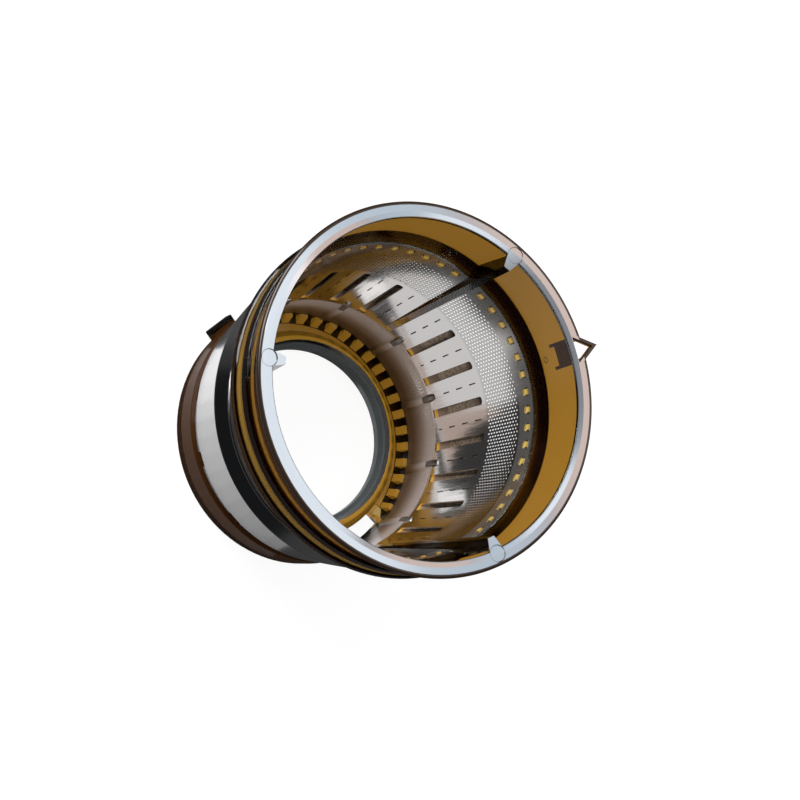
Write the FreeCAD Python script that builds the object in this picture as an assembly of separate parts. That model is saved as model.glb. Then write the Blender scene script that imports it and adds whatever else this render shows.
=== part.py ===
# Juicer mesh screen: an amber moulded frame with a stainless steel sieve moulded into it.
# Millimetres. It stands on its narrow end with the mouth up. Heights in this file are
# measured from the standing plane. The finished solids are lowered so that the origin is
# the centre of the lower edge of the bore in the floor, with +Z up towards the mouth.
# The positioning triangle of the rim points to +Y, and the pulp outlet faces +X.
import FreeCAD
import Part
import math
import os

os.makedirs("parts", exist_ok=True)

V = FreeCAD.Vector

# overall
TOTAL_H = 87.0                # standing plane to rim face
AXIS_LOW = -5.0               # cutting tools start this far below the standing plane

# rim
RIM_R = 54.0                  # outer radius of the flat rim
RIM_H = 3.6                   # thickness of the rim flange
RIM_IN_R = 49.95              # mouth radius
RIM_EDGE = 0.3                # chamfer of the rim's upper edges

# clear wall below the rim
WALL_FOOT_R = 49.7            # inside radius where the clear wall ends
WALL_FOOT_Z = 70.5
WALL_T = 1.3                  # thickness of the clear wall
WALL_OUT_R = WALL_FOOT_R + WALL_T

# skirt ring around the top of the steel
SKIRT_R = 52.0
SKIRT_T = 1.4
SKIRT_TOP_Z = 74.2
SKIRT_FOOT_Z = 63.6
SKIRT_BEAD_H = 3.0            # height of the upper bead
SKIRT_LIP_H = 2.6             # height of the lower bead
SKIRT_GROOVE = 0.55           # depth of the groove between the beads
SHOULDER_R = 47.1             # inside radius at the foot of the shoulder
SHOULDER_Z = 66.4
COLLAR_FOOT_Z = 61.6          # lower edge of the plastic that backs the steel
COLLAR_T = 0.8                # plastic thickness behind the steel

# steel sieve
SHEET_T = 0.5
SHEET_TOP_R = 46.4            # inside radius at the upper edge
SHEET_TOP_Z = 67.0
NECK_TOP_R = 39.25            # inside radius where the cone turns into the neck
NECK_TOP_Z = 19.5
SHEET_FOOT_R = 38.0           # inside radius at the lower edge
SHEET_FOOT_Z = 1.0
PITCH_DEG = 15.0              # angular pitch of the slots
SLOT_DEG = 7.5                # first slot
SLOT_W = 2.5
SLOT_TOP_Z = 43.9
SLOT_FOOT_Z = 20.2
SLOT_ROUND = 0.9              # rounding of the upper corners

# anchor windows along the upper edge of the steel
WINDOW_N = 54
WINDOW_W = 2.5
WINDOW_TOP_Z = 65.4
WINDOW_FOOT_Z = 62.9
PLUG_FOOT_Z = 63.9            # the plastic fills a window down to here

# outer steel jacket over the slots
JACKET_T = 0.4
JACKET_TOP_Z = 44.4           # where the jacket leaves the sieve
JACKET_CREASE_R = 46.0
JACKET_CREASE_Z = 40.6
JACKET_FOOT_R = 41.3
JACKET_FOOT_Z = 18.7
JACKET_END_Z = 17.6           # where the jacket meets the neck again

# moulded bars between sieve and jacket
BAR_TOP_Z = 42.6
BAR_FOOT_Z = 18.9
RAMP_TOP_Z = 25.0             # the floor of each slot channel slopes up to here
RAMP_FOOT_Z = 20.0

# three inner vanes
VANE_N = 3
VANE_DEG = 7.5
VANE_TIP_TOP_R = 46.1
VANE_TIP_FOOT_R = 39.35
VANE_FOOT_Z = 21.0
VANE_TIP_W = 2.2
VANE_ROOT_W = 5.0
VANE_ROOT_FOOT_W = 3.2
KEY_W = 1.6                   # tongue of a vane that passes through the steel
KEY_TOP_Z = 40.0
KEY_FOOT_Z = 22.0
PIN_R = 2.55                  # round pin mark on the rim above each vane
PIN_CENTRE_R = 51.2
PIN_DEPTH = 0.2

# twelve ribs pressed inwards into the steel across its bend
RIB_N = 12
RIB_TOP_Z = 22.6
RIB_MID_Z = 14.0
RIB_FOOT_Z = 5.2
RIB_TOP_W = 1.8
RIB_BASE_W = 4.7
RIB_CREST_TOP_W = 0.8
RIB_CREST_W = 1.5
RIB_TOP_H = 0.35
RIB_H = 0.8
RIB_END_T = 0.4               # steel left at both ends of a rib's hollow
RIB_KEY_W = 1.2               # plastic in a rib's hollow that reaches out to the bars
RIB_KEY_R = NECK_TOP_R + 1.4
RIB_KEY_TOP_Z = 21.4
RIB_KEY_FOOT_Z = 19.4

# base ring
BASE_TOP_Z = 12.8
BASE_TOP_R = 40.5
BASE_STEP_Z = 5.0
BASE_STEP_R = 39.9
FOOT_R = 39.3                 # plain band that the screen stands on
FOOT_IN_R = 37.8
FOOT_ROUND = 0.6

# toothed lip inside the base
LIP_TOP_Z = 4.8
LIP_TOP_R = 37.1
LIP_FOOT_R = 35.6
TOOTH_N = 45
POCKET_DEG = 3.5
POCKET_FIRST = 5              # pockets between these two numbers are cut
POCKET_LAST = 39
POCKET_W = 2.7
POCKET_FOOT_Z = 1.9

# floor and central collar
FLOOR_TOP_Z = 1.6
FLOOR_FOOT_Z = 0.3
HUB_OUT_R = 32.4
HUB_EDGE_Z = 6.0              # where the collar's slope ends and its side begins
HUB_TOP_R = 28.9
HUB_TOP_Z = 10.0
HUB_LIP_R = 27.85             # foot of the inner bevel
HUB_LIP_Z = 7.2
BORE_R = 26.8                 # bore through the collar
BORE_FOOT_Z = 3.4
BORE_LENGTH = 2.6
HUB_T = 1.4

# pulp outlet
OUTLET_HALF_DEG = 31.0
OUTLET_WALL_DEG = 2.2         # thin end wall beside the outlet
LIP_END_DEG = 38.5            # the toothed lip stops here
END_WALL_Z = 3.0              # height of that wall
WELL_Z = 0.9                  # floor of the well between end wall and lip

# locating lug on the base
LUG_DEG = 201.0
LUG_W = 8.8
LUG_R = 42.3
LUG_TOP_Z = 4.0
LUG_FOOT_Z = 0.6

# positioning triangle on the rim
TRI_DEG = 90.0
TRI_TIP_R = 59.4
TRI_SLOPE = 0.653             # half width gained per millimetre from the tip
TRI_T = 0.85
TRI_H = 2.4
TRI_HOLE_R = 51.8
GUSSET_T = 1.0
GUSSET_OFF = 3.4              # middle of each gusset, off the triangle's own axis
GUSSET_FOOT_Z = 77.0
GUSSET_R = 53.0
GUSSET_ROOT_R = WALL_FOOT_R + 0.4
BOSS_FOOT_Z = 79.3            # thick plastic between the gussets, up to the rim

# gate mark on the clear wall
GATE_Z = 73.1
GATE_R = 1.0
GATE_RING = 0.25
GATE_H = 0.15


def sheet_in(z):
    # inside radius of the steel sieve at a height
    if z >= NECK_TOP_Z:
        k = (z - NECK_TOP_Z) / (SHEET_TOP_Z - NECK_TOP_Z)
        return NECK_TOP_R + k * (SHEET_TOP_R - NECK_TOP_R)
    k = (z - SHEET_FOOT_Z) / (NECK_TOP_Z - SHEET_FOOT_Z)
    return SHEET_FOOT_R + k * (NECK_TOP_R - SHEET_FOOT_R)


def sheet_out(z):
    # outside radius of the steel sieve at a height
    return sheet_in(z) + SHEET_T


def jacket_out(z):
    # outside radius of the jacket between its crease and its foot
    k = (z - JACKET_FOOT_Z) / (JACKET_CREASE_Z - JACKET_FOOT_Z)
    return JACKET_FOOT_R + k * (JACKET_CREASE_R - JACKET_FOOT_R)


def section(points):
    # closed face in the XZ plane from (radius, height, corner) triples: a corner above zero
    # is a rounding of that radius, and one below zero is a chamfer of that length
    n = len(points)
    edges = []
    ends = []
    for i in range(n):
        r, z, c = points[i]
        here = V(r, 0, z)
        before = V(points[i - 1][0], 0, points[i - 1][1])
        after = V(points[(i + 1) % n][0], 0, points[(i + 1) % n][1])
        if c == 0:
            ends.append((here, here, None))
            continue
        u = (before - here).normalize()
        w = (after - here).normalize()
        if c < 0:
            ends.append((here - u * c, here - w * c, None))
            continue
        half = u.getAngle(w) / 2.0
        reach = c / math.tan(half)
        a = here + u * reach
        b = here + w * reach
        middle = (u + w).normalize() * (c / math.sin(half) - c)
        ends.append((a, b, here + middle))
    for i in range(n):
        a, b, middle = ends[i]
        if middle is not None:
            edges.append(Part.Arc(a, middle, b).toShape())
        elif a != b:
            edges.append(Part.makeLine(a, b))
        start = b
        stop = ends[(i + 1) % n][0]
        if start.distanceToPoint(stop) > 1e-6:
            edges.append(Part.makeLine(start, stop))
    return Part.Face(Part.Wire(Part.__sortEdges__(edges)))


def turned(points):
    # full ring with the given section
    full = [p if len(p) == 3 else (p[0], p[1], 0) for p in points]
    return section(full).revolve(V(0, 0, 0), V(0, 0, 1), 360)


def swung(shape, degrees):
    # copy of a shape turned about the screen's axis
    copy = shape.copy()
    copy.rotate(V(0, 0, 0), V(0, 0, 1), degrees)
    return copy


def slab(r0, r1, width, z0, z1):
    # box that runs outwards along +X, centred on Y
    return Part.makeBox(r1 - r0, width, z1 - z0, V(r0, -width / 2.0, z0))


def sector(r0, r1, z0, z1, a0, a1):
    # part of a ring between two angles
    ring = Part.makeCylinder(r1, z1 - z0, V(0, 0, z0), V(0, 0, 1), a1 - a0)
    hole = Part.makeCylinder(r0, z1 - z0 + 2, V(0, 0, z0 - 1))
    return swung(ring.cut(hole), a0)


def upright(outline, r0, r1):
    # prism that runs outwards along +X from a (y, z) outline
    pts = [V(r0, y, z) for y, z in outline]
    face = Part.Face(Part.makePolygon(pts + [pts[0]]))
    return face.extrude(V(r1 - r0, 0, 0))


def lofted(sections):
    # solid through level outlines given as lists of (x, y, z)
    wires = []
    for outline in sections:
        pts = [V(*p) for p in outline]
        wires.append(Part.makePolygon(pts + [pts[0]]))
    return Part.makeLoft(wires, True, True)


def slot_tool():
    # long slot with rounded upper corners and square lower corners
    half = SLOT_W / 2.0
    c = SLOT_ROUND
    outline = [(-half, SLOT_FOOT_Z), (half, SLOT_FOOT_Z)]
    for k in range(4):
        a = math.radians(30 * k)
        outline.append((half - c + c * math.cos(a), SLOT_TOP_Z - c + c * math.sin(a)))
    for k in range(4):
        a = math.radians(90 + 30 * k)
        outline.append((-half + c + c * math.cos(a), SLOT_TOP_Z - c + c * math.sin(a)))
    return upright(outline, NECK_TOP_R - 4, SHEET_TOP_R + 4)


def window_tool(z0, z1, r0, r1):
    # half-oval window, flat above and round below
    half = WINDOW_W / 2.0
    drop = min(half, 0.55 * (z1 - z0))
    outline = [(half, z1), (-half, z1)]
    for k in range(4):
        a = math.radians(180 + 60 * k)
        outline.append((half * math.cos(a), z0 + drop + drop * math.sin(a)))
    return upright(outline, r0, r1)


def is_vane(degrees):
    # true where a vane stands
    step = 360.0 / VANE_N
    off = (degrees - VANE_DEG) % step
    return min(off, step - off) < 0.1


SLOTS = [SLOT_DEG + PITCH_DEG * k for k in range(24)]
SLOTS = [a for a in SLOTS if not is_vane(a)]
VANES = [VANE_DEG + 360.0 / VANE_N * k for k in range(VANE_N)]
WINDOWS = [VANE_DEG + 360.0 / WINDOW_N * k for k in range(WINDOW_N)]
WINDOWS = [a for a in WINDOWS if not is_vane(a)]
RIBS = [360.0 / RIB_N * k for k in range(RIB_N)]
POCKETS = [POCKET_DEG + 360.0 / TOOTH_N * k for k in range(POCKET_FIRST, POCKET_LAST + 1)]


def sieve_blank():
    # plain sieve: cone above, neck below
    return turned([
        (SHEET_TOP_R, SHEET_TOP_Z),
        (SHEET_TOP_R + SHEET_T, SHEET_TOP_Z),
        (NECK_TOP_R + SHEET_T, NECK_TOP_Z),
        (SHEET_FOOT_R + SHEET_T, SHEET_FOOT_Z),
        (SHEET_FOOT_R, SHEET_FOOT_Z),
        (NECK_TOP_R, NECK_TOP_Z),
    ])


def rib_form(shift, back, z0, z1):
    # solid of one pressed rib between two heights, moved outwards by the shift
    def outline(z):
        k = min(max((z - RIB_MID_Z) / (RIB_TOP_Z - RIB_MID_Z), 0.0), 1.0)
        crest_w = RIB_CREST_W + k * (RIB_CREST_TOP_W - RIB_CREST_W)
        base_w = RIB_BASE_W + k * (RIB_TOP_W - RIB_BASE_W)
        height = RIB_H + k * (RIB_TOP_H - RIB_H)
        r = sheet_in(z) + shift
        spread = (base_w - crest_w) / height
        half = (crest_w + spread * (height + back)) / 2.0
        return [(r - height, -crest_w / 2.0, z), (r - height, crest_w / 2.0, z),
                (r + back, half, z), (r + back, -half, z)]

    heights = [z0, RIB_MID_Z, NECK_TOP_Z, z1]
    spans = [lofted([outline(low), outline(high)]) for low, high in zip(heights, heights[1:])]
    return spans[0].fuse(spans[1:])


def rib_hollow():
    # hollow behind a pressed rib, cut off at the outside of the steel
    return rib_form(SHEET_T, 0.3, RIB_FOOT_Z + RIB_END_T, RIB_TOP_Z - RIB_END_T)


def make_screen():
    # steel sieve with its slots, anchor windows, vane windows and pressed ribs
    tools = [swung(slot_tool(), a) for a in SLOTS]
    window = window_tool(WINDOW_FOOT_Z, WINDOW_TOP_Z, SHEET_TOP_R - 3, SHEET_TOP_R + 3)
    tools += [swung(window, a) for a in WINDOWS]
    key = slab(NECK_TOP_R - 3, JACKET_CREASE_R, KEY_W, KEY_FOOT_Z, KEY_TOP_Z)
    tools += [swung(key, a) for a in VANES]
    rib = rib_form(0.0, SHEET_T / 2.0, RIB_FOOT_Z, RIB_TOP_Z)
    tools += [swung(rib_hollow(), a) for a in RIBS]
    return sieve_blank().fuse([swung(rib, a) for a in RIBS]).cut(tools)


def make_jacket():
    # thin outer cone over the slots, closed onto the sieve at both ends
    top_r = sheet_out(JACKET_TOP_Z)
    end_r = sheet_out(JACKET_END_Z)
    shell = turned([
        (top_r, JACKET_TOP_Z),
        (JACKET_CREASE_R, JACKET_CREASE_Z),
        (JACKET_FOOT_R, JACKET_FOOT_Z),
        (end_r, JACKET_END_Z),
        (sheet_out(JACKET_END_Z + 0.55), JACKET_END_Z + 0.55),
        (JACKET_FOOT_R - JACKET_T, JACKET_FOOT_Z + 0.3),
        (JACKET_CREASE_R - JACKET_T, JACKET_CREASE_Z - 0.15),
        (sheet_out(JACKET_TOP_Z - 0.6), JACKET_TOP_Z - 0.6),
    ])
    return shell


def top_ring():
    # rim flange, clear wall, skirt ring and the collar that backs the steel
    skirt_in = SKIRT_R - SKIRT_T
    collar_out = sheet_out(COLLAR_FOOT_Z) + COLLAR_T
    bead_foot = SKIRT_TOP_Z - SKIRT_BEAD_H
    lip_top = SKIRT_FOOT_Z + SKIRT_LIP_H
    web_z = SKIRT_TOP_Z - 1.6
    ring = turned([
        (RIM_IN_R, TOTAL_H, -RIM_EDGE),
        (RIM_R, TOTAL_H, -RIM_EDGE),
        (RIM_R, TOTAL_H - RIM_H, -2 * RIM_EDGE),
        (WALL_OUT_R, TOTAL_H - RIM_H, 0.6),
        (WALL_OUT_R, SKIRT_TOP_Z, 0.3),
        (SKIRT_R, SKIRT_TOP_Z, 0.5),
        (SKIRT_R, bead_foot, 0.3),
        (SKIRT_R - SKIRT_GROOVE, bead_foot - 0.4, 0),
        (SKIRT_R - SKIRT_GROOVE, lip_top + 0.4, 0),
        (SKIRT_R, lip_top, 0.3),
        (SKIRT_R, SKIRT_FOOT_Z, 0.5),
        (skirt_in, SKIRT_FOOT_Z, 0.2),
        (skirt_in, web_z - 4.0, 0),
        (collar_out + 0.4, SHOULDER_Z - 0.5, 0),
        (collar_out, COLLAR_FOOT_Z, 0.2),
        (sheet_out(COLLAR_FOOT_Z), COLLAR_FOOT_Z, 0),
        (SHEET_TOP_R + SHEET_T, SHEET_TOP_Z, 0),
        (SHEET_TOP_R, SHEET_TOP_Z, 0),
        (SHOULDER_R, SHOULDER_Z + 0.8, 0.2),
        (WALL_FOOT_R, WALL_FOOT_Z, 0.4),
    ])
    return ring


def window_plugs():
    # plastic that flowed through the anchor windows
    plug = window_tool(PLUG_FOOT_Z, WINDOW_TOP_Z, SHEET_TOP_R - 0.55, SHEET_TOP_R + 1.2)
    return [swung(plug, a) for a in WINDOWS]


def hollow():
    # room in which the vanes stand: it reaches half way into the steel and into the wall
    mid = SHEET_T / 2.0
    bite = 0.5
    return turned([
        (0, AXIS_LOW),
        (SHEET_FOOT_R + mid, AXIS_LOW),
        (SHEET_FOOT_R + mid, SHEET_FOOT_Z),
        (NECK_TOP_R + mid, NECK_TOP_Z),
        (SHEET_TOP_R + mid, SHEET_TOP_Z - 0.3),
        (SHOULDER_R + bite, SHEET_TOP_Z - 0.2),
        (WALL_FOOT_R + bite, WALL_FOOT_Z - 0.3),
        (RIM_IN_R + bite, TOTAL_H),
        (0, TOTAL_H),
    ])


def vane():
    # tapering vane flush with the rim, drafted from root to tip
    def outline(z, tip_r, root_w):
        tip = VANE_TIP_W / 2.0
        root = root_w / 2.0
        back = RIM_IN_R + 1.0
        return [(tip_r, -tip, z), (tip_r, tip, z), (back, root, z), (back, -root, z)]

    # at its foot a vane stands this far out of the steel, and the outline is widened behind that
    foot_depth = 1.2
    top = outline(TOTAL_H, VANE_TIP_TOP_R, VANE_ROOT_W)
    k = (RIM_IN_R + 1.0 - VANE_TIP_FOOT_R) / foot_depth
    foot_w = VANE_TIP_W + (VANE_ROOT_FOOT_W - VANE_TIP_W) * k
    foot = outline(VANE_FOOT_Z, VANE_TIP_FOOT_R, min(foot_w, 11.0))
    return lofted([foot, top])


def vane_key():
    # tongue that carries a vane through the steel to the bars
    between = turned([
        (sheet_in(KEY_FOOT_Z), KEY_FOOT_Z),
        (jacket_out(KEY_FOOT_Z) - JACKET_T, KEY_FOOT_Z),
        (jacket_out(KEY_TOP_Z) - JACKET_T, KEY_TOP_Z),
        (sheet_in(KEY_TOP_Z), KEY_TOP_Z),
    ])
    tongue = slab(NECK_TOP_R - 1.0, JACKET_CREASE_R, KEY_W, KEY_FOOT_Z, KEY_TOP_Z)
    return tongue.common(between)


def bars():
    # moulding between sieve and jacket, pierced by the slots, whose channels end in a ramp
    foot_r = jacket_out(BAR_FOOT_Z + 0.4) - JACKET_T
    crease_r = jacket_out(JACKET_CREASE_Z) - JACKET_T - 0.05
    crease_z = JACKET_CREASE_Z - 0.3
    k = (RAMP_TOP_Z - BAR_FOOT_Z - 0.4) / (crease_z - BAR_FOOT_Z - 0.4)
    ring = turned([
        (sheet_out(BAR_TOP_Z), BAR_TOP_Z),
        (jacket_out(BAR_TOP_Z) - JACKET_T - 2.0, BAR_TOP_Z),
        (crease_r, crease_z),
        (foot_r, BAR_FOOT_Z + 0.4),
        (sheet_out(BAR_FOOT_Z), BAR_FOOT_Z),
        (sheet_out(NECK_TOP_Z), NECK_TOP_Z),
    ])
    ramp = turned([
        (foot_r + k * (crease_r - foot_r), RAMP_TOP_Z),
        (foot_r, BAR_FOOT_Z + 0.4),
        (sheet_out(BAR_FOOT_Z), BAR_FOOT_Z),
        (sheet_out(NECK_TOP_Z), NECK_TOP_Z),
        (sheet_out(RAMP_FOOT_Z), RAMP_FOOT_Z),
    ])
    return ring.cut([swung(slot_tool(), a) for a in SLOTS]).fuse(ramp)


def base_ring():
    # base around the lower end of the steel, with lip, floor and hollow collar
    gap_in = BORE_R + HUB_T
    gap_out = HUB_OUT_R - HUB_T
    return turned([
        (sheet_out(BASE_TOP_Z + 0.6), BASE_TOP_Z + 0.6, 0),
        (BASE_TOP_R, BASE_TOP_Z, 0.3),
        (BASE_STEP_R, BASE_STEP_Z, 0.2),
        (FOOT_R, BASE_STEP_Z - 0.4, 0),
        (FOOT_R, 0, FOOT_ROUND),
        (FOOT_IN_R, 0, 0),
        (FOOT_IN_R, FLOOR_FOOT_Z, 0),
        (gap_out, FLOOR_FOOT_Z, 0),
        (gap_out, HUB_EDGE_Z - 0.6, 0),
        (gap_in + 0.3, HUB_LIP_Z, 0),
        (gap_in, BORE_FOOT_Z, 0),
        (BORE_R, BORE_FOOT_Z, 0),
        (BORE_R, BORE_FOOT_Z + BORE_LENGTH, 0),
        (HUB_LIP_R, HUB_LIP_Z, 0.2),
        (HUB_TOP_R, HUB_TOP_Z, 0.2),
        (HUB_OUT_R, HUB_EDGE_Z, 0.3),
        (HUB_OUT_R, FLOOR_TOP_Z, 0.3),
        (LIP_FOOT_R, FLOOR_TOP_Z, 0),
        (LIP_TOP_R, LIP_TOP_Z, 0.2),
        (sheet_in(LIP_TOP_Z), LIP_TOP_Z, 0),
    ])


def pocket_tools():
    # square pockets between the teeth of the lip, back to the steel
    back = SHEET_FOOT_R + 0.7 * SHEET_T
    tool = slab(LIP_FOOT_R - 2.2, back, POCKET_W, POCKET_FOOT_Z, LIP_TOP_Z + 1.0)
    return [swung(tool, a) for a in POCKETS]


def outlet_tools():
    # through opening in the floor, and the wells on either side of it
    top = LIP_TOP_Z + 2.0
    back = SHEET_FOOT_R + 0.7 * SHEET_T
    half = OUTLET_HALF_DEG
    wall = OUTLET_HALF_DEG + OUTLET_WALL_DEG
    end = LIP_END_DEG
    return [
        sector(HUB_OUT_R, FOOT_IN_R, AXIS_LOW, top, -half, half),
        sector(HUB_OUT_R, back, SHEET_FOOT_Z, top, -half, half),
        sector(HUB_OUT_R, back, END_WALL_Z, top, -wall, wall),
        sector(HUB_OUT_R, back, WELL_Z, top, wall, end),
        sector(HUB_OUT_R, back, WELL_Z, top, -end, -wall),
    ]


def triangle(tip_r, z0, z1, back_r):
    # triangular plate that points outwards along +X
    half = (tip_r - back_r) * TRI_SLOPE
    pts = [V(tip_r, 0, z0), V(back_r, half, z0), V(back_r, -half, z0)]
    face = Part.Face(Part.makePolygon(pts + [pts[0]]))
    return face.extrude(V(0, 0, z1 - z0))


def rim_mark(ring):
    # hollow positioning triangle that stands out of the rim, with a boss and two gussets under it
    hole_tip = TRI_TIP_R - TRI_T * math.sqrt(1 + TRI_SLOPE ** 2) / TRI_SLOPE
    plate = triangle(TRI_TIP_R, TOTAL_H - TRI_H, TOTAL_H, RIM_R - 1.0)
    hole = triangle(hole_tip, TOTAL_H - RIM_H - 1, TOTAL_H + 1, TRI_HOLE_R)
    into_rim = TOTAL_H - RIM_H + 0.5
    gusset = slab(GUSSET_ROOT_R, GUSSET_R, GUSSET_T, GUSSET_FOOT_Z, into_rim)
    boss = slab(GUSSET_ROOT_R, GUSSET_R, 2 * GUSSET_OFF, BOSS_FOOT_Z, into_rim)
    added = [plate, boss]
    for side in (-1, 1):
        added.append(gusset.translated(V(0, side * GUSSET_OFF, 0)))
    with_plate = ring.fuse([swung(piece, TRI_DEG) for piece in added])
    return with_plate.cut(swung(hole, TRI_DEG))


def gate_mark():
    # small raised ring left by the gate, on the inside of the clear wall
    r = WALL_FOOT_R + 0.3
    outer = Part.makeCylinder(GATE_R, GATE_H + 0.4, V(r - GATE_H - 0.2, 0, GATE_Z), V(1, 0, 0))
    inner = Part.makeCylinder(GATE_R - GATE_RING, 2, V(r - 2, 0, GATE_Z), V(1, 0, 0))
    return swung(outer.cut(inner), TRI_DEG)


def lug():
    # locating lug on the outside of the base
    return swung(slab(FOOT_R - 0.6, LUG_R, LUG_W, LUG_FOOT_Z, LUG_TOP_Z), LUG_DEG)


def make_frame(screen, jacket):
    # the moulding: one solid that holds the steel
    ring = rim_mark(top_ring())
    room = hollow()
    vanes = [swung(vane(), a).common(room) for a in VANES]
    hollow_rib = rib_hollow().common(sieve_blank())
    ribs = [swung(hollow_rib, a) for a in RIBS]
    rib_key = slab(sheet_out(RIB_KEY_FOOT_Z) - 0.2, RIB_KEY_R, RIB_KEY_W, RIB_KEY_FOOT_Z, RIB_KEY_TOP_Z)
    tongues = [swung(vane_key(), a) for a in VANES]
    tongues += [swung(rib_key, a) for a in RIBS]
    base = base_ring().cut(pocket_tools() + outlet_tools())
    frame = ring.fuse(vanes + window_plugs() + tongues + ribs + [bars(), base, lug(), gate_mark()])
    pins = [swung(Part.makeCylinder(PIN_R, PIN_DEPTH + 1, V(PIN_CENTRE_R, 0, TOTAL_H - PIN_DEPTH)), a)
            for a in VANES]
    return frame.cut(pins + [screen, jacket]).removeSplitter()


def main_solid(shape, name):
    # one closed solid, or a clear message
    solids = shape.Solids
    print(name, "solids", len(solids), "volume", round(shape.Volume, 1), "valid", shape.isValid())
    if len(solids) == 1:
        return solids[0]
    for piece in sorted(solids, key=lambda solid: -solid.Volume):
        print("   part", round(piece.Volume, 3), piece.BoundBox)
    return shape


screen = make_screen()
jacket = make_jacket()
frame = make_frame(screen, jacket)
for name, shape in (("frame", frame), ("screen", screen), ("jacket", jacket)):
    solid = main_solid(shape, name)
    solid.translate(V(0, 0, -BORE_FOOT_Z))
    solid.exportStep("parts/%s.step" % name)
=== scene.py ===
import bpy
import bmesh
import math
from mathutils import Matrix, Vector


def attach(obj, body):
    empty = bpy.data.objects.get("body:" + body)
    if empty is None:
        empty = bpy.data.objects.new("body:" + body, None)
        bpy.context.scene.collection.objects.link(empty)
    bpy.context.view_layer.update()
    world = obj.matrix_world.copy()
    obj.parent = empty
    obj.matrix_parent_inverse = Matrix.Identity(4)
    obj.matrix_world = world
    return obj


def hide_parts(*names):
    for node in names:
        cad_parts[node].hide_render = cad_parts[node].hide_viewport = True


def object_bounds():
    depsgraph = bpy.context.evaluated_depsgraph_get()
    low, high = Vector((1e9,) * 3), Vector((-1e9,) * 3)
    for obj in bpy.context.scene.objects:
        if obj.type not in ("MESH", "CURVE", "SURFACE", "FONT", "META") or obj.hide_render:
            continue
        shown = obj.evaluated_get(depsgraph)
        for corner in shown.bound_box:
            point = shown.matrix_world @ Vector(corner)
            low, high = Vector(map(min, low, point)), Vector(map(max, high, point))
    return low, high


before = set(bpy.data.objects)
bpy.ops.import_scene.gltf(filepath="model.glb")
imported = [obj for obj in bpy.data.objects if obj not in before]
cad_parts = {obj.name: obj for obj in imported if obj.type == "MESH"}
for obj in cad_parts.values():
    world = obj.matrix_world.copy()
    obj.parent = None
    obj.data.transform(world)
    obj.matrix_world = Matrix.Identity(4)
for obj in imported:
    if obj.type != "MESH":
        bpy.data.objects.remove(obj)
cad_low, cad_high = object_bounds()


# CAMERA
# The photograph looks steeply down into the mouth with a long lens, and its upright runs
# across the screen's axis, so the camera is rolled to its side.
MM = 0.001
camera_data = bpy.data.cameras.new("camera")
camera_data.lens = 150.5
camera_data.sensor_width = 36.0
camera_data.clip_start = 0.05
camera_data.clip_end = 20.0
camera = bpy.data.objects.new("camera", camera_data)
bpy.context.scene.collection.objects.link(camera)
camera_place = Vector((37.46, -492.63, 901.41)) * MM
look_along = Vector((-0.03822, 0.50746, -0.86082)).normalized()
picture_up = Vector((-0.96072, 0.21830, 0.17134))
picture_right = look_along.cross(picture_up).normalized()
picture_up = picture_right.cross(look_along)
camera.matrix_world = Matrix.Translation(camera_place) @ Matrix(
    (picture_right, picture_up, -look_along)).transposed().to_4x4()
bpy.context.scene.camera = camera
bpy.context.scene.view_settings.view_transform = "Standard"


# FRAME
# The amber moulding that holds the steel: rim, clear wall, skirt ring, vanes, bars, base ring and
# collar. It is clear amber plastic, injected round the steel in one shot, so thin walls glow and
# thick ones look nearly black.
class Socket:
    # one output of a node, so that values are written as expressions
    def __init__(self, paint, out):
        self.paint = paint
        self.out = out

    def math(self, operation, other=None):
        values = [self] if other is None else [self, other]
        return self.paint.node("ShaderNodeMath", {"operation": operation}, values)

    def __add__(self, other):
        return self.math("ADD", other)

    def __radd__(self, other):
        return self.math("ADD", other)

    def __sub__(self, other):
        return self.math("SUBTRACT", other)

    def __rsub__(self, other):
        return self.paint.node("ShaderNodeMath", {"operation": "SUBTRACT"}, [other, self])

    def __mul__(self, other):
        return self.math("MULTIPLY", other)

    def __rmul__(self, other):
        return self.math("MULTIPLY", other)


class Paint:
    # the nodes of one material, or of the surround
    def __init__(self, name, world=None):
        self.owner = world or bpy.data.materials.new(name)
        self.owner.use_nodes = True
        self.tree = self.owner.node_tree
        self.tree.nodes.clear()
        self.output = self.tree.nodes.new("ShaderNodeOutputWorld" if world else "ShaderNodeOutputMaterial")

    def node(self, kind, settings=None, values=None, out=0):
        made = self.tree.nodes.new(kind)
        for key, value in (settings or {}).items():
            setattr(made, key, value)
        pairs = values.items() if isinstance(values, dict) else enumerate(values or [])
        for key, value in pairs:
            if isinstance(value, Socket):
                self.tree.links.new(value.out, made.inputs[key])
            else:
                made.inputs[key].default_value = value
        return Socket(self, made.outputs[out])

    def place(self):
        # the point on the piece, in metres, and its x, y and z
        spot = self.node("ShaderNodeTexCoord", out=3)
        apart = self.node("ShaderNodeSeparateXYZ", values=[spot]).out.node
        return spot, [Socket(self, out) for out in apart.outputs]

    def noise(self, scale, detail=2.0, stretch=(1, 1, 1)):
        spot, _ = self.place()
        turned = self.node("ShaderNodeMapping", values={"Vector": spot, "Scale": stretch})
        return self.node("ShaderNodeTexNoise", values={"Vector": turned, "Scale": scale, "Detail": detail})

    def between(self, share, first, second):
        # first colour where share is 0, second where it is 1
        return self.node(
            "ShaderNodeMix", {"data_type": "RGBA"}, {"Factor": share, 6: first, 7: second}, out=2)

    def rays(self):
        # what kind of ray meets the surface, by the names of Light Path
        path = self.node("ShaderNodeLightPath").out.node
        return {out.name: Socket(self, out) for out in path.outputs}

    def finish(self, surface, volume=None):
        self.tree.links.new(surface.out, self.output.inputs["Surface"])
        if volume is not None:
            self.tree.links.new(volume.out, self.output.inputs["Volume"])
        return self.owner


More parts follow.
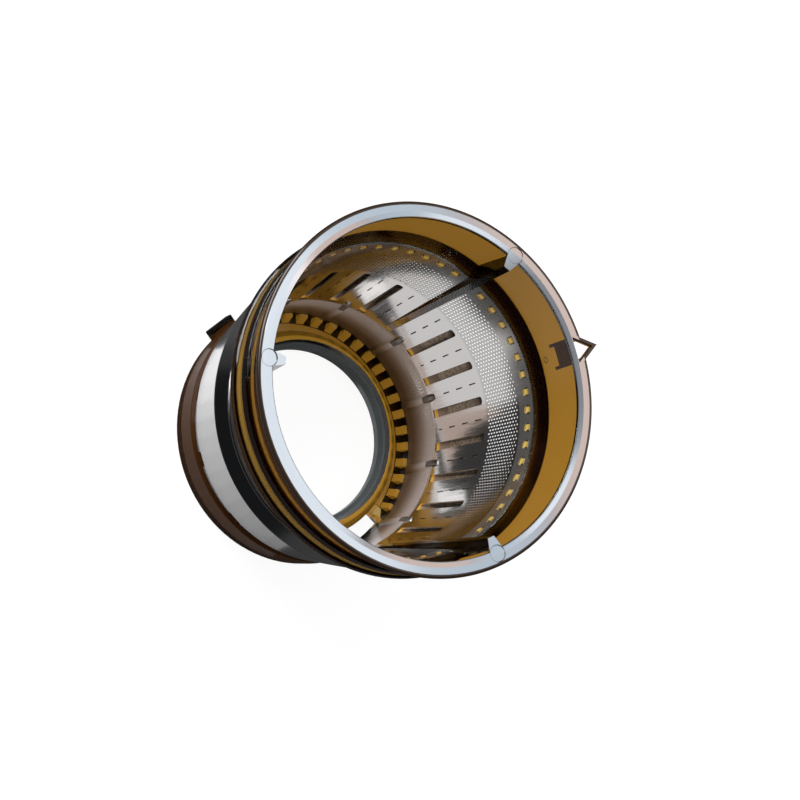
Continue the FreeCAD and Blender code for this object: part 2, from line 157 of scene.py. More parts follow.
def smooth_step(value, low, high):
    # 0 below low, 1 above high, and smooth between
    return value.paint.node("ShaderNodeMapRange", {"interpolation_type": "SMOOTHSTEP", "clamp": True},
                            {"Value": value, "From Min": low, "From Max": high})


def band(value, low, high, edge=0.1 * MM):
    # 1 between low and high, and 0 beyond them
    return smooth_step(value, low - edge, low + edge) * (1.0 - smooth_step(value, high - edge, high + edge))


# sizes of the moulding in millimetres, with heights above the foot and angles in degrees
FOOT_Z = cad_low.z / MM       # where the foot stands, seen from the origin
RIM_Z = cad_high.z / MM       # the rim's face, seen from the origin
RIM_R = 54.0
RIM_FLAT_R = 51.7             # the rim's face slopes inside this radius
RIM_SLOPE = 0.3
WALL_INSIDE = (49.5, 50.4)
WALL_HEIGHTS = (70.7, 85.9)
VANE_ANGLES = (7.5, 127.5, 247.5)
VANE_HALF = 3.2               # half the width kept clear across a vane
PIN_CENTRE_R = 51.2           # pin marks on the rim, one above each vane
PIN_OUTLINE = (2.35, 2.6)
GUSSET_OFFS = (2.9, 3.9)      # gussets of the triangle, off its own axis
GUSSET_HEIGHTS = (77.0, 88.0)
BOSS_HEIGHTS = (79.3, 88.0)
GATE_HEIGHT = 73.1            # mark of the gate in the wall
GATE_OUTLINE = (0.75, 1.0)
WINDOW_FIRST = 7.5            # windows of the steel, evenly spaced from this angle
WINDOW_N = 54
PLUG_HEIGHTS = (63.0, 65.4)
PLUG_RADII = (45.0, 46.6)
PLUG_EDGE = (0.14, 0.17)      # a plug's side, in window pitches from its middle
RAMP_HEIGHTS = (19.9, 25.2)
RAMP_RADII = (39.4, 43.8)
RAMP_TURN = (20.8, 21.4)      # the ramps turn from gold to brown between these heights
POCKET_FIRST = 3.5            # pockets of the base's lip, evenly spaced from this angle
POCKET_N = 45
TOOTH_HEIGHTS = (1.7, 6.0)
TOOTH_RADII = (35.4, 38.1)
TOOTH_EDGE = (0.235, 0.25)    # a tooth's side, in pocket pitches from a pocket's middle
COLLAR_TOP_RADII = (28.9, 30.4)
COLLAR_SLOPE_RADII = (30.4, 32.5)
COLLAR_SLOPE_HEIGHTS = (5.9, 8.6)
COLLAR_HEIGHTS = (3.0, 13.0)
BASE_FLOOR_RADII = (30.4, 35.4)
BASE_FLOOR_HEIGHTS = (-1.0, 5.9)
BORE_WALL_RADII = (26.0, 28.3)
BASE_OUTSIDE_RADII = (39.3, 40.7)
DARK_BELOW = 17.0             # the base and the ribs' plastic above it are dark outside up to here
GROOVE_HEIGHTS = (67.2, 70.2)
GROOVE_R = 51.2
WALL_STRIP_HEIGHTS = (75.0, 76.9)
WALL_STRIP_R = 50.7
AMBER_IOR = 1.58

amber = Paint("amber_plastic")
_, (amber_x, amber_y, amber_height) = amber.place()
amber_radius = (amber_x * amber_x + amber_y * amber_y).math("SQRT")
amber_up = amber_height - FOOT_Z * MM


def at_height(heights):
    # 1 on the moulding between two heights
    return band(amber_up, heights[0] * MM, heights[1] * MM)


def at_radius(radii):
    # 1 on the moulding between two radii
    return band(amber_radius, radii[0] * MM, radii[1] * MM)


def beyond(radius):
    # 1 on the moulding outside a radius
    return smooth_step(amber_radius, radius * MM, (radius + 0.1) * MM)


ripple = amber.noise(60.0, 2.0)
amber_bump = amber.node("ShaderNodeBump", values={"Strength": 0.04, "Distance": 0.002, "Height": ripple})
amber_clear = amber.node("ShaderNodeBsdfPrincipled", values={
    "Base Color": (1.0, 0.97, 0.90, 1.0),
    "Roughness": 0.08,
    "IOR": AMBER_IOR,
    "Transmission Weight": 1.0,
    "Normal": amber_bump,
})

# the inside of the clear wall is frosted, so what lies behind it is hidden, and it has a painted glow: an
# emission that stands in for light coming through the wall, so that the wall glows evenly, but for the
# polished gussets and boss under the triangle and the gate's mark
frosted_zone = at_height(WALL_HEIGHTS) * at_radius(WALL_INSIDE)
off_triangle = amber_x.math("ABSOLUTE")
boss = at_height(BOSS_HEIGHTS) * band(off_triangle, -1.0 * MM, GUSSET_OFFS[1] * MM)
gussets = at_height(GUSSET_HEIGHTS) * band(off_triangle, GUSSET_OFFS[0] * MM, GUSSET_OFFS[1] * MM)
over_gate = amber_up - GATE_HEIGHT * MM
from_gate = (amber_x * amber_x + over_gate * over_gate).math("SQRT")
gate = band(from_gate, GATE_OUTLINE[0] * MM, GATE_OUTLINE[1] * MM)
triangle_side = smooth_step(amber_y, 0.0, 1.0 * MM)
polished_spots = boss.math("MAXIMUM", gussets).math("MAXIMUM", gate) * triangle_side
frosted = frosted_zone * (1.0 - polished_spots)
# painted glow: the frosted face's emission stands in for light through the wall, and it is no lamp
frost_with_painted_glow = amber.node("ShaderNodeBsdfPrincipled", values={
    "Base Color": (0.22, 0.105, 0.007, 1.0),
    "Roughness": 0.5,
    "Emission Color": (0.30, 0.145, 0.01, 1.0),
    "Emission Strength": 0.62,
})

# the plugs in the windows, the ramps at the slots' lower ends, the inside of the base and two strips outside
# are satin, but the vanes stay clear; their bright gold and yellow and their gold emission are painted light
# and painted glow, standing in for the light they catch, while the ramps' upper ends turn brown without glow
beside_vane = 1.0
for turn in VANE_ANGLES:
    along = amber_x * math.cos(math.radians(turn)) + amber_y * math.sin(math.radians(turn))
    across = amber_x * math.sin(math.radians(turn)) - amber_y * math.cos(math.radians(turn))
    on_vane = smooth_step(along, 0.0, 1.0 * MM) * band(across, -VANE_HALF * MM, VANE_HALF * MM)
    beside_vane = (1.0 - on_vane) * beside_vane
around = amber_y.math("ARCTAN2", amber_x)
from_window = ((around - math.radians(WINDOW_FIRST)) * (WINDOW_N / math.tau)).math("PINGPONG", 0.5)
plugs = at_height(PLUG_HEIGHTS) * at_radius(PLUG_RADII) * beside_vane
plugs = plugs * (1.0 - smooth_step(from_window, *PLUG_EDGE))
ramps = at_height(RAMP_HEIGHTS) * at_radius(RAMP_RADII)
from_pocket = ((around - math.radians(POCKET_FIRST)) * (POCKET_N / math.tau)).math("PINGPONG", 0.5)
teeth = at_height(TOOTH_HEIGHTS) * at_radius(TOOTH_RADII) * smooth_step(from_pocket, *TOOTH_EDGE)
collar_top = at_height(COLLAR_HEIGHTS) * at_radius(COLLAR_TOP_RADII)
collar_slope = at_height(COLLAR_SLOPE_HEIGHTS) * at_radius(COLLAR_SLOPE_RADII)
base_floor = at_height(BASE_FLOOR_HEIGHTS) * at_radius(BASE_FLOOR_RADII)
skirt_groove = at_height(GROOVE_HEIGHTS) * beyond(GROOVE_R)
wall_strip = at_height(WALL_STRIP_HEIGHTS) * beyond(WALL_STRIP_R)
painted_light_share = (plugs + ramps) * 0.85 + teeth * 0.48 + collar_top * 0.7
painted_light_share = painted_light_share + base_floor * 0.4 + collar_slope * 0.25 + (skirt_groove + wall_strip) * 0.17
# painted light: the gold and the plugs' yellow stand in for lit plastic, and the gold emission is painted
# glow
gold = (0.95, 0.50, 0.06, 1.0)
plug_yellow = (0.75, 0.62, 0.15, 1.0)
ramp_brown = (0.50, 0.38, 0.28, 1.0)
gold_glow = (0.50, 0.27, 0.03, 1.0)
no_glow = (0.0, 0.0, 0.0, 1.0)
ramp_top = smooth_step(amber_up, RAMP_TURN[0] * MM, RAMP_TURN[1] * MM) * ramps
amber_painted_light = amber.node("ShaderNodeBsdfPrincipled", values={
    "Base Color": amber.between(ramp_top, amber.between(plugs, gold, plug_yellow), ramp_brown),
    "Roughness": 0.3,
    "Emission Color": amber.between(ramp_top, gold_glow, no_glow),
    "Emission Strength": 0.4,
})

# the bore's wall, the outside of the base and the spots under the triangle are dark
bore_wall = at_height(COLLAR_HEIGHTS) * at_radius(BORE_WALL_RADII)
low_down = 1.0 - smooth_step(amber_up, DARK_BELOW * MM, (DARK_BELOW + 0.2) * MM)
base_outside = low_down * at_radius(BASE_OUTSIDE_RADII)
dark_brown = (0.055, 0.02, 0.005, 1.0)
bore_grey = (0.14, 0.165, 0.175, 1.0)
amber_dark = amber.node("ShaderNodeBsdfPrincipled", values={
    "Base Color": amber.between(bore_wall, dark_brown, bore_grey),
    "Roughness": 0.3,
    "Specular IOR Level": 0.03,
})
dark_share = bore_wall * 0.8 + base_outside * 0.95 + polished_spots * frosted_zone * 0.7
amber_wall = amber.node("ShaderNodeMixShader", values=[painted_light_share, amber_clear, amber_painted_light])
amber_wall = amber.node("ShaderNodeMixShader", values=[dark_share, amber_wall, amber_dark])
amber_wall = amber.node("ShaderNodeMixShader", values=[frosted * 0.85, amber_wall, frost_with_painted_glow])

# the rim's face slopes inwards along the mouth and is finely textured, so it throws back the light
# instead, and its triangle and the outlines of its three ejector pins are darker
rim_face = smooth_step(amber_height, (RIM_Z - 0.24) * MM, (RIM_Z - 0.2) * MM)
darker = smooth_step(amber_radius, (RIM_R - 0.1) * MM, (RIM_R + 0.1) * MM)
for turn in VANE_ANGLES:
    pin_x = amber_x - PIN_CENTRE_R * MM * math.cos(math.radians(turn))
    pin_y = amber_y - PIN_CENTRE_R * MM * math.sin(math.radians(turn))
    from_pin = (pin_x * pin_x + pin_y * pin_y).math("SQRT")
    outline = band(from_pin, PIN_OUTLINE[0] * MM, PIN_OUTLINE[1] * MM)
    darker = darker.math("MAXIMUM", outline * 0.6)
slope = (RIM_FLAT_R * MM - amber_radius).math("MAXIMUM", 0.0) * -RIM_SLOPE
rim_slope = amber.node("ShaderNodeBump", values={"Strength": 1.0, "Distance": 1.0, "Height": slope})
rim_silver = (0.58, 0.61, 0.65, 1.0)
rim_black = (0.07, 0.07, 0.07, 1.0)
amber_satin = amber.node("ShaderNodeBsdfPrincipled", values={
    "Base Color": amber.between(darker, rim_silver, rim_black),
    "Metallic": 0.7,
    "Roughness": 0.13,
    "IOR": AMBER_IOR,
    "Normal": rim_slope,
})
amber_skin = amber.node("ShaderNodeMixShader", values=[rim_face, amber_wall, amber_satin])
amber_depth = amber.node("ShaderNodeVolumeAbsorption", values={
    "Color": (0.69, 0.55, 0.10, 1.0),
    "Density": 3600.0,
})
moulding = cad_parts["frame"]
moulding.data.materials.clear()
moulding.data.materials.append(amber.finish(amber_skin, amber_depth))


# RIM EDGE
# The rim's outer edge is rounded into a thin bead of the same plastic, which looks nearly black from
# above. It is moulded in one with the rim and stops at the triangle.
EDGE_R = 0.8
TRIANGLE_HALF = 3.3           # half the width of the triangle where it leaves the rim
bpy.ops.object.select_all(action="DESELECT")
bpy.ops.mesh.primitive_torus_add(
    major_radius=RIM_R * MM, minor_radius=EDGE_R * MM, major_segments=360, minor_segments=20,
    location=(0, 0, (RIM_Z - EDGE_R) * MM))
edge_bead = bpy.context.object
edge_bead.name = "rim_edge"
bpy.ops.object.transform_apply(location=True)
bpy.ops.object.mode_set(mode="EDIT")
bpy.ops.mesh.select_mode(type="FACE")
bpy.ops.mesh.select_all(action="DESELECT")
mesh = bmesh.from_edit_mesh(edge_bead.data)
for f in mesh.faces:
    middle = f.calc_center_median()
    f.select = middle.y > 0 and abs(middle.x) < TRIANGLE_HALF * MM
bmesh.update_edit_mesh(edge_bead.data)
bpy.ops.mesh.delete(type="FACE")
bpy.ops.mesh.select_all(action="SELECT")
bpy.ops.mesh.fill_holes(sides=0)
bpy.ops.mesh.select_all(action="SELECT")
bpy.ops.mesh.normals_make_consistent(inside=False)
bpy.ops.object.mode_set(mode="OBJECT")
bpy.ops.object.shade_smooth_by_angle(angle=math.radians(40))
dark_amber = Paint("dark_amber")
edge_skin = dark_amber.node("ShaderNodeBsdfPrincipled", values={
    "Base Color": (0.035, 0.02, 0.012, 1.0),
    "Roughness": 0.12,
    "IOR": AMBER_IOR,
})
edge_bead.data.materials.append(dark_amber.finish(edge_skin))
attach(edge_bead, "root")


# JACKET
# The smooth outer cone that closes the slots from outside: thin stainless sheet, spun and polished
# outside. Inside, a film of the amber plastic covers it where it shows in the slots.
JACKET_FOOT_R = 41.3          # outside radius at its foot
JACKET_FOOT = 18.7            # height of its foot
JACKET_SLOPE = 0.2146         # radius gained per height
FILM_TOP = 40.0
SHOULDER = 40.7               # the jacket turns in above this height
polished = Paint("jacket_steel")
_, (jacket_x, jacket_y, jacket_z) = polished.place()
jacket_up = jacket_z - FOOT_Z * MM
jacket_radius = (jacket_x * jacket_x + jacket_y * jacket_y).math("SQRT")
# the film is on the inner face only, which lies deeper than these depths under the outer one
FILM_DEPTHS = (0.3, 0.2)
outside = jacket_radius - (jacket_up - JACKET_FOOT * MM) * JACKET_SLOPE - JACKET_FOOT_R * MM
film = 1.0 - smooth_step(outside, -FILM_DEPTHS[0] * MM, -FILM_DEPTHS[1] * MM)
film = film * (1.0 - smooth_step(jacket_up, FILM_TOP * MM, (FILM_TOP + 0.3) * MM))
spun_steel = (0.66, 0.66, 0.67, 1.0)
film_brown = (0.38, 0.28, 0.20, 1.0)
film_pale = (0.70, 0.55, 0.42, 1.0)
slot_top_painted_shade = (0.03, 0.025, 0.02, 1.0)
speckle = smooth_step(polished.noise(1500.0, 1.0), 0.35, 0.65)
film_colour = polished.between(speckle, film_brown, film_pale)
# painted shade: the film is painted darker, towards black, near its top, where the slots' upper ends lie in
# shadow
slot_top_shade_fade = smooth_step(jacket_up, (FILM_TOP - 3.5) * MM, FILM_TOP * MM)
film_colour = polished.between(slot_top_shade_fade, film_colour, slot_top_painted_shade)
shoulder = smooth_step(jacket_up, SHOULDER * MM, (SHOULDER + 0.3) * MM)
spun_grain = polished.noise(700.0, 3.0, (1, 1, 0.05))
jacket_skin = polished.node("ShaderNodeBsdfPrincipled", values={
    "Base Color": polished.between(film, spun_steel, film_colour),
    "Metallic": 1.0 - film * 0.6,
    "Roughness": 0.22 - shoulder * 0.16 + spun_grain * 0.04 + film * 0.2,
})
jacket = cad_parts["jacket"]
jacket.data.materials.clear()
jacket.data.materials.append(polished.finish(jacket_skin))


# SIEVE
# The inner steel, a cone above a short neck: pressed sheet with a band of etched holes, long slots and
# short dashes, and fine slits round the neck. The plastic passes through windows along its upper edge,
# and twelve ribs are pressed inwards across the bend.
SHEET = 0.5
SHEET_PIERCED = 0.25          # the etched bands are thinner
SIEVE_TOP = (46.4, 67.0)      # inside radius, and height above the foot
SIEVE_BEND = (39.25, 19.5)
SIEVE_LOW = (38.0, 1.0)
SIEVE_SIDES = 240
HOLES_LOW = 45.2              # plain edges of the band of holes
HOLES_HIGH = 60.6
SLITS_LOW = 9.2
LIP_TOP = 4.8                 # the base's lip covers the steel below this
# painted shade on the neck fades out between these heights
NECK_RISE = (7.0, 17.0)       # the neck grows brighter between these heights
CONE_WIDENS = 0.15            # radius that the cone gains per height
CUT_DEPTH = 8.0               # length of the cutters, through the sheet
RIB_ANGLES = [30 * k for k in range(12)]
RIB_HEAD_HEIGHTS = (17.0, 24.0)
RIB_HEAD_R = (38.9, 39.05)    # edge of a rib's head, as a radius at the bend
# height, rise, width of the crest and width of the back at four levels of a rib
RIB_SHAPE = ((5.2, 0.8, 1.6, 3.6), (14.0, 0.8, 1.6, 3.6), (19.5, 0.65, 1.5, 3.2), (22.6, 0.35, 1.3, 2.4))
RIB_SOFT = 0.16               # rounding of a rib's edges
SAME = 1e-6                   # heights closer than this, in metres, are the same


def sieve_inside(height):
    # inside radius of the steel at a height above the foot
    low, high = (SIEVE_BEND, SIEVE_TOP) if height > SIEVE_BEND[1] else (SIEVE_LOW, SIEVE_BEND)
    share = (height - low[1]) / (high[1] - low[1])
    return low[0] + share * (high[0] - low[0])


def use(piece):
    # makes one piece the active and only selected one
    bpy.ops.object.select_all(action="DESELECT")
    piece.select_set(True)
    bpy.context.view_layer.objects.active = piece


def apply_modifiers(piece):
    use(piece)
    for modifier in list(piece.modifiers):
        bpy.ops.object.modifier_apply(modifier=modifier.name)


def repeat(piece, count, step):
    # row of copies that share their edges
    modifier = piece.modifiers.new("repeat", "ARRAY")
    modifier.count = count
    modifier.use_relative_offset = False
    modifier.use_constant_offset = True
    modifier.constant_offset_displace = step
    modifier.use_merge_vertices = True
    modifier.merge_threshold = 0.005


def thicken(piece, thickness=SHEET):
    # gives an open skin the thickness of the sheet, outwards
    wall = piece.modifiers.new("sheet", "SOLIDIFY")
    wall.thickness = thickness * MM
    wall.offset = 1.0
    apply_modifiers(piece)


def pierced_strip(name, columns, rows, pitch, wide, high, start, low, finish):
    # staggered holes round the whole sieve, laid out flat as degrees and heights and then rolled up
    column = 360.0 / columns
    degrees = 180.0 / (math.pi * sieve_inside(start + rows * pitch / 2.0))
    bpy.ops.object.select_all(action="DESELECT")
    bpy.ops.mesh.primitive_circle_add(vertices=6, radius=1.0, fill_type="NGON", rotation=(0, 0, math.pi / 2))
    strip = bpy.context.object
    strip.name = name
    bpy.ops.object.transform_apply(rotation=True)
    bpy.ops.object.mode_set(mode="EDIT")
    bpy.ops.mesh.select_all(action="SELECT")
    bpy.ops.mesh.inset(thickness=math.sqrt(3.0) / 4.0)
    bpy.ops.transform.resize(value=(1.5 * wide * degrees / column, 2.0 * high / pitch, 1.0))
    bpy.ops.mesh.delete(type="FACE")
    bpy.ops.object.mode_set(mode="OBJECT")
    strip.scale = (column * 2.0 / 3.0, pitch / math.sqrt(3.0), 1.0)
    strip.location = (0.0, start + pitch / 2.0, 0.0)
    bpy.ops.object.transform_apply(location=True, scale=True)
    repeat(strip, 2, (column, pitch / 2.0, 0))
    repeat(strip, columns // 2, (2 * column, 0, 0))
    repeat(strip, rows, (0, pitch, 0))
    apply_modifiers(strip)
    # the zigzag ends are drawn out to straight edges
    for edge, first in ((low, start), (finish, start + rows * pitch)):
        bpy.ops.object.mode_set(mode="EDIT")
        bpy.ops.mesh.select_mode(type="EDGE")
        bpy.ops.mesh.select_all(action="DESELECT")
        mesh = bmesh.from_edit_mesh(strip.data)
        for e in mesh.edges:
            e.select = e.is_boundary and all(
                min(abs(v.co.y - first), abs(v.co.y - first - pitch / 2.0)) < 0.002 for v in e.verts)
        bmesh.update_edit_mesh(strip.data)
        bpy.ops.mesh.extrude_edges_move()
        bpy.ops.transform.resize(value=(1, 0, 1), center_override=(0, edge, 0))
        bpy.ops.object.mode_set(mode="OBJECT")
    for v in strip.data.vertices:
        turn = math.radians(v.co.x)
        r = sieve_inside(v.co.y)
        v.co = Vector((r * math.cos(turn), r * math.sin(turn), v.co.y + FOOT_Z)) * MM
    bpy.ops.object.mode_set(mode="EDIT")
    bpy.ops.mesh.select_all(action="SELECT")
    bpy.ops.mesh.remove_doubles(threshold=0.00002)
    bpy.ops.object.mode_set(mode="OBJECT")
    thicken(strip, SHEET_PIERCED)
    return strip


def plain_strip(name, low, high):
    # smooth ring of the sieve between two heights
    bpy.ops.object.select_all(action="DESELECT")
    bpy.ops.mesh.primitive_cone_add(
        vertices=SIEVE_SIDES, radius1=sieve_inside(low + 0.001) * MM, radius2=sieve_inside(high) * MM,
        depth=(high - low) * MM, end_fill_type="NOTHING", location=(0, 0, ((low + high) / 2 + FOOT_Z) * MM))
    strip = bpy.context.object
    strip.name = name
    bpy.ops.object.transform_apply(location=True)
    thicken(strip)
    return strip


def punch(name, wide, low, high, round_low=0.0, round_high=0.0, wide_high=None):
    # cutter for one opening, with its lower or upper corners rounded, or with a narrower top
    middle_r = sieve_inside((low + high) / 2.0)
    bpy.ops.object.select_all(action="DESELECT")
    bpy.ops.mesh.primitive_cube_add(
        size=1.0, scale=(CUT_DEPTH * MM, wide * MM, (high - low) * MM),
        location=(middle_r * MM, 0, ((low + high) / 2 + FOOT_Z) * MM))
    tool = bpy.context.object
    tool.name = name
    bpy.ops.object.transform_apply(location=True, scale=True)
    for size, height in ((round_low, low), (round_high, high)):
        if size == 0:
            continue
        bpy.ops.object.mode_set(mode="EDIT")
        bpy.ops.mesh.select_mode(type="EDGE")
        bpy.ops.mesh.select_all(action="DESELECT")
        mesh = bmesh.from_edit_mesh(tool.data)
        for e in mesh.edges:
            a, b = (v.co for v in e.verts)
            level = abs(a.z - (height + FOOT_Z) * MM) < SAME and abs(b.z - a.z) < SAME
            e.select = level and abs(a.y - b.y) < SAME
        bmesh.update_edit_mesh(tool.data)
        bpy.ops.mesh.bevel(offset=size * MM, segments=4)
        bpy.ops.object.mode_set(mode="OBJECT")
    if wide_high is not None:
        for v in tool.data.vertices:
            if v.co.z > (high + FOOT_Z) * MM - SAME:
                v.co.y *= wide_high / wide
    return tool


def pressed_rib():
    # bulge pressed inwards across the bend, widest at its foot
    middle = sieve_inside(RIB_SHAPE[0][0]) * MM
    bpy.ops.object.select_all(action="DESELECT")
    bpy.ops.mesh.primitive_plane_add(size=1.0 * MM, location=(middle, 0, 0))
    rib = bpy.context.object
    rib.name = "rib"
    bpy.ops.object.transform_apply(location=True)
    bpy.ops.object.mode_set(mode="EDIT")
    bpy.ops.mesh.select_mode(type="FACE")
    bpy.ops.mesh.select_all(action="SELECT")
    for n, (height, rise, crest, back) in enumerate(RIB_SHAPE):
        if n:
            bpy.ops.mesh.extrude_region_move()
        inside = sieve_inside(height)
        mesh = bmesh.from_edit_mesh(rib.data)
        for v in mesh.verts:
            if v.select:
                side = math.copysign(0.5, v.co.y)
                if v.co.x < middle:
                    v.co = Vector((inside - rise, side * crest, height + FOOT_Z)) * MM
                else:
                    v.co = Vector((inside + SHEET / 2, side * back, height + FOOT_Z)) * MM
        bmesh.update_edit_mesh(rib.data)
        middle = inside * MM
    bpy.ops.mesh.select_all(action="SELECT")
    bpy.ops.mesh.normals_make_consistent(inside=False)
    bpy.ops.object.mode_set(mode="OBJECT")
    soft = rib.modifiers.new("soft", "BEVEL")
    soft.width = RIB_SOFT * MM
    soft.segments = 3
    apply_modifiers(rib)
    return rib


def joined(pieces):
    # several objects made one
    use(pieces[0])
    for piece in pieces[1:]:
        piece.select_set(True)
    bpy.ops.object.join()
    return bpy.context.object


def turned_copies(tool, angles):
    # copies round the axis, as one object
    copies = []
    for angle in angles:
        mesh = tool.data.copy()
        mesh.transform(Matrix.Rotation(math.radians(angle), 4, "Z"))
        copy = bpy.data.objects.new(tool.name, mesh)
        bpy.context.scene.collection.objects.link(copy)
        copies.append(copy)
    bpy.data.objects.remove(tool)
    return joined(copies)


def punched(strip, tool):
    # takes the cutter's openings out of a strip
    cut = strip.modifiers.new("cut", "BOOLEAN")
    cut.operation = "DIFFERENCE"
    cut.solver = "EXACT"
    cut.object = tool
    apply_modifiers(strip)
    bpy.data.objects.remove(tool)


# each of the three vanes takes the place of one slot and one window
SLOT_N = 24
DASH_W = 0.42
dash_angles = [360 / SLOT_N * k for k in range(SLOT_N)]
short_dash_angles = [turn for turn in dash_angles if turn not in RIB_ANGLES]
slot_angles = [turn + 180 / SLOT_N for turn in dash_angles if turn + 180 / SLOT_N not in VANE_ANGLES]
window_angles = [WINDOW_FIRST + 360 / WINDOW_N * k for k in range(WINDOW_N) if k % 18]
top_strip = plain_strip("sieve_top", HOLES_HIGH, SIEVE_TOP[1])
window = punch("windows", wide=2.5, low=62.9, high=65.4, round_low=1.1)
punched(top_strip, turned_copies(window, window_angles))
middle_strip = plain_strip("sieve_middle", SIEVE_BEND[1], HOLES_LOW)
punched(middle_strip, joined([
    turned_copies(punch("slots", wide=2.5, low=20.2, high=43.9, round_high=0.9), slot_angles),
    turned_copies(punch("dashes_upper", wide=DASH_W, low=39.7, high=42.7), dash_angles),
    turned_copies(punch("dashes_middle", wide=DASH_W, low=33.3, high=36.2), dash_angles),
    turned_copies(punch("dashes_lower", wide=DASH_W, low=27.0, high=29.8), dash_angles),
    turned_copies(punch("dashes_short", wide=DASH_W, low=22.0, high=23.5), short_dash_angles),
]))
hole_strip = pierced_strip(
    "sieve_holes", columns=264, rows=11, pitch=1.26, wide=0.66, high=0.66,
    start=45.6, low=HOLES_LOW, finish=HOLES_HIGH)
slit_strip = pierced_strip(
    "sieve_slits", columns=480, rows=2, pitch=3.6, wide=0.08, high=3.0,
    start=9.8, low=SLITS_LOW, finish=SIEVE_BEND[1])
hollow = punch("hollows", wide=2.8, low=12.6, high=19.2, wide_high=2.2)
punched(slit_strip, turned_copies(hollow, RIB_ANGLES))
ribs = turned_copies(pressed_rib(), RIB_ANGLES)
low_strip = plain_strip("sieve_low", SIEVE_LOW[1], SLITS_LOW)
sieve = joined([hole_strip, top_strip, middle_strip, slit_strip, low_strip, ribs])
sieve.name = "sieve"
bpy.ops.object.shade_smooth_by_angle(angle=math.radians(30))

# the neck and the band of holes are duller than the lands between the slots, and the ribs' heads are dull.
# Painted shade darkens the neck low down, tinted brown as a painted reflection of the amber base, darkens
# the ribs' heads, and turns the steel in the pockets of the lip black
steel = Paint("stainless")
_, (steel_x, steel_y, steel_z) = steel.place()
steel_up = steel_z - FOOT_Z * MM
steel_radius = (steel_x * steel_x + steel_y * steel_y).math("SQRT")
grain = steel.noise(900.0, 3.0, (1, 1, 0.08))
steel_bump = steel.node("ShaderNodeBump", values={"Strength": 0.035, "Distance": 0.0004, "Height": grain})
neck = 1.0 - smooth_step(steel_up, (SIEVE_BEND[1] - 0.7) * MM, (SIEVE_BEND[1] + 1.1) * MM)
# painted shade: the neck is painted dark brown low in the bore, fading to pale steel near the bend
neck_shade_fade = smooth_step(steel_up, NECK_RISE[0] * MM, NECK_RISE[1] * MM)
pierced = smooth_step(steel_up, (HOLES_LOW - 0.4) * MM, (HOLES_LOW + 0.6) * MM)
top_edge = smooth_step(steel_up, (HOLES_HIGH - 0.2) * MM, (HOLES_HIGH + 0.3) * MM)
# painted shade: in the pockets of the lip the steel is painted black, where it lies in shadow
in_pocket = 1.0 - smooth_step(steel_up, (LIP_TOP - 0.1) * MM, (LIP_TOP + 0.1) * MM)
# only a rib's head stands inside the cone, whose radius is taken back to the one at the bend
at_bend = steel_radius - (steel_up - SIEVE_BEND[1] * MM) * CONE_WIDENS
rib_head = band(steel_up, RIB_HEAD_HEIGHTS[0] * MM, RIB_HEAD_HEIGHTS[1] * MM)
rib_head = rib_head * (1.0 - smooth_step(at_bend, RIB_HEAD_R[0] * MM, RIB_HEAD_R[1] * MM))
land_steel = (0.68, 0.66, 0.65, 1.0)
pierced_steel = (0.58, 0.57, 0.56, 1.0)
neck_painted_shade = (0.20, 0.15, 0.12, 1.0)
neck_high_steel = (0.88, 0.86, 0.90, 1.0)
# painted shade: the ribs' heads are painted dark grey
rib_head_painted_shade = (0.20, 0.18, 0.17, 1.0)
pocket_painted_shade = (0.01, 0.01, 0.01, 1.0)
steel_colour = steel.between(pierced, land_steel, pierced_steel)
steel_colour = steel.between(neck, steel_colour, steel.between(neck_shade_fade, neck_painted_shade, neck_high_steel))
steel_colour = steel.between(rib_head, steel_colour, rib_head_painted_shade)
steel_skin = steel.node("ShaderNodeBsdfPrincipled", values={
    "Base Color": steel.between(in_pocket, steel_colour, pocket_painted_shade),
    "Metallic": 1.0 - neck * 0.6 - top_edge * 0.12,
    "Roughness": 0.07 + grain * 0.07 + pierced * 0.03 + neck * 0.2 + rib_head * 0.2,
    "Normal": steel_bump,
})
sieve.data.materials.clear()
sieve.data.materials.append(steel.finish(steel_skin))
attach(sieve, "root")
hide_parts("screen")


# STAGE
# A white floor under the foot, a pale surround, soft boxes overhead and glowing panels on the floor,
# which the steel mirrors.
bpy.ops.object.select_all(action="DESELECT")
bpy.ops.mesh.primitive_plane_add(size=6.0, location=(0, 0, FOOT_Z * MM))
floor = bpy.context.object
floor.name = "floor"
white = Paint("floor_white")
floor_rays = white.rays()
share = 0.0
for ray, weight in (("Is Camera Ray", 0.8), ("Is Transmission Ray", 0.85), ("Is Glossy Ray", 0.96)):
    share = (floor_rays[ray] * weight).math("MAXIMUM", share)
matte = white.node("ShaderNodeBsdfDiffuse", values={"Color": (0.9, 0.9, 0.9, 1.0)})
glow = white.node("ShaderNodeEmission", values={
    "Color": (1, 1, 1, 1),
    "Strength": 1.15 - floor_rays["Is Glossy Ray"] * 1.11,
})
floor.data.materials.append(white.finish(white.node("ShaderNodeMixShader", values=[share, matte, glow])))

# the surround is pale where it is seen, and dimmer where it only lights or mirrors
world = bpy.data.worlds.new("studio")
bpy.context.scene.world = world
studio = Paint("studio", world)
studio_rays = studio.rays()
light = studio.node("ShaderNodeBackground", values={
    "Color": (0.9, 0.94, 1.0, 1.0),
    "Strength": 0.42 - studio_rays["Is Glossy Ray"] * 0.408,
})
pale = studio.node("ShaderNodeBackground", values={"Strength": 1.0})
seen = studio_rays["Is Camera Ray"].math("MAXIMUM", studio_rays["Is Transmission Ray"])
studio.finish(studio.node("ShaderNodeMixShader", values=[seen, light, pale]))


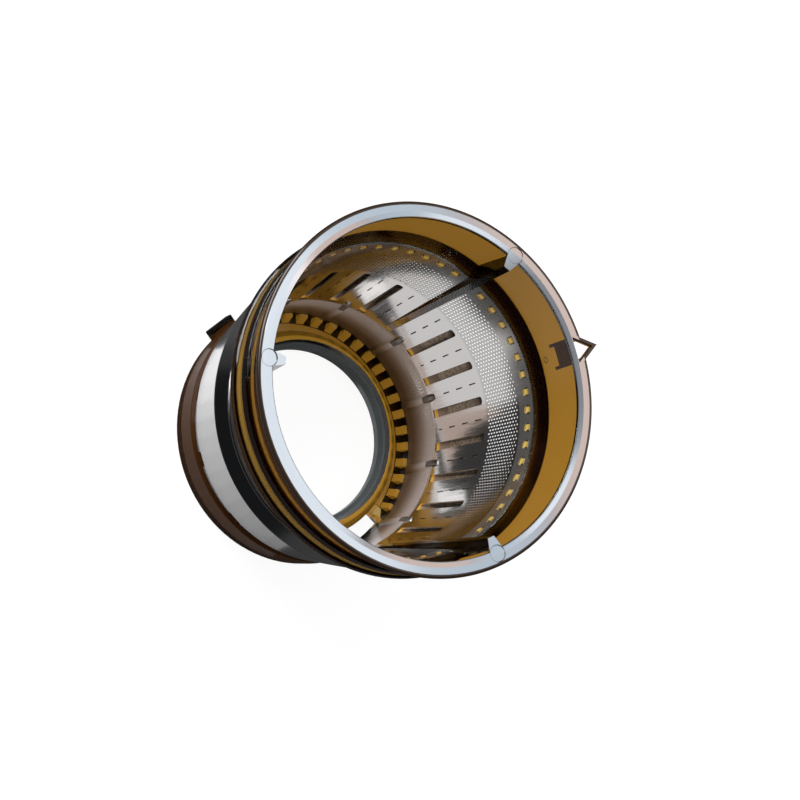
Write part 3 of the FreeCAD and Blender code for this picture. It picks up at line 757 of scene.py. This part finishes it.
def softbox(name, place, aim, width, height, power, tint=(1, 1, 1)):
    # soft area lamp, with its place and size in metres and its power in watts
    data = bpy.data.lights.new(name, "AREA")
    data.shape = "RECTANGLE"
    data.size = width
    data.size_y = height
    data.energy = power
    data.color = tint
    lamp = bpy.data.objects.new(name, data)
    bpy.context.scene.collection.objects.link(lamp)
    lamp.location = place
    lamp.rotation_mode = "QUATERNION"
    lamp.rotation_quaternion = (Vector(aim) - Vector(place)).to_track_quat("-Z", "Y")
    return lamp


def floor_panel(name, x, y, turn, width, height, radiance, tint=(1, 1, 1)):
    # glowing panel that lies on the floor and faces up, with its size in millimetres
    power = radiance * math.pi * width * height * MM * MM
    place = (x * MM, y * MM, (FOOT_Z + 0.2) * MM)
    lamp = softbox(name, place, (0, 0, 1.0), width * MM, height * MM, power, tint)
    turned = Matrix.Rotation(math.radians(turn), 4, "Z").to_quaternion()
    lamp.rotation_quaternion = turned @ Matrix.Rotation(math.pi, 4, "X").to_quaternion()


cool_white = (0.93, 0.97, 1.0)
blue_white = (0.74, 0.89, 1.0)
warm_peach = (1.0, 0.63, 0.45)
pale_peach = (1.0, 0.78, 0.66)
faint_peach = (1.0, 0.92, 0.88)
softbox("top_box", (-0.5, -0.2, 0.5), (0, 0, 0.04), 0.5, 0.5, 5.0)
softbox("face_box", (-0.02, 0.107, 0.36), (-0.02, 0.107, 0.0), 0.30, 0.062, 0.083, cool_white)
softbox("blue_box", (-0.02, 0.17, 0.36), (-0.02, 0.17, 0.0), 0.30, 0.06, 0.046, blue_white)
softbox("warm_box", (0.0, 0.27, 0.36), (0.0, 0.27, 0.0), 0.30, 0.13, 0.125, warm_peach)
softbox("far_box", (0.0, 0.50, 0.36), (0.0, 0.10, 0.08), 0.30, 0.26, 0.33, cool_white)

# panels under the bore, which the steel mirrors, and in a ring beside the base for the jacket
floor_panel("bore_panel", 9.5, 0.9, 66.0, 56.0, 30.0, 0.75)
floor_panel("bore_warm_panel", -7.9, 3.2, 66.0, 30.0, 3.6, 0.5, pale_peach)
floor_panel("bore_foot_panel", -1.6, 16.6, 0.0, 2.4, 4.4, 0.6, faint_peach)
floor_panel("bore_small_panel", -2.6, 24.0, 0.0, 12.0, 4.5, 1.1)
SIDE_R = 51.0
SIDE_FIRST = 217.5
SIDE_STEP = 9.0
side_radiances = (1.1, 1.1, 1.0, 0.82, 0.68, 0.6, 0.54, 0.48, 0.42, 0.36, 0.32, 0.28, 0.22)
for step, radiance in enumerate(side_radiances):
    turn = SIDE_FIRST + SIDE_STEP * step
    x, y = SIDE_R * math.cos(math.radians(turn)), SIDE_R * math.sin(math.radians(turn))
    floor_panel("side_panel", x, y, turn, 20.0, 9.0, radiance)
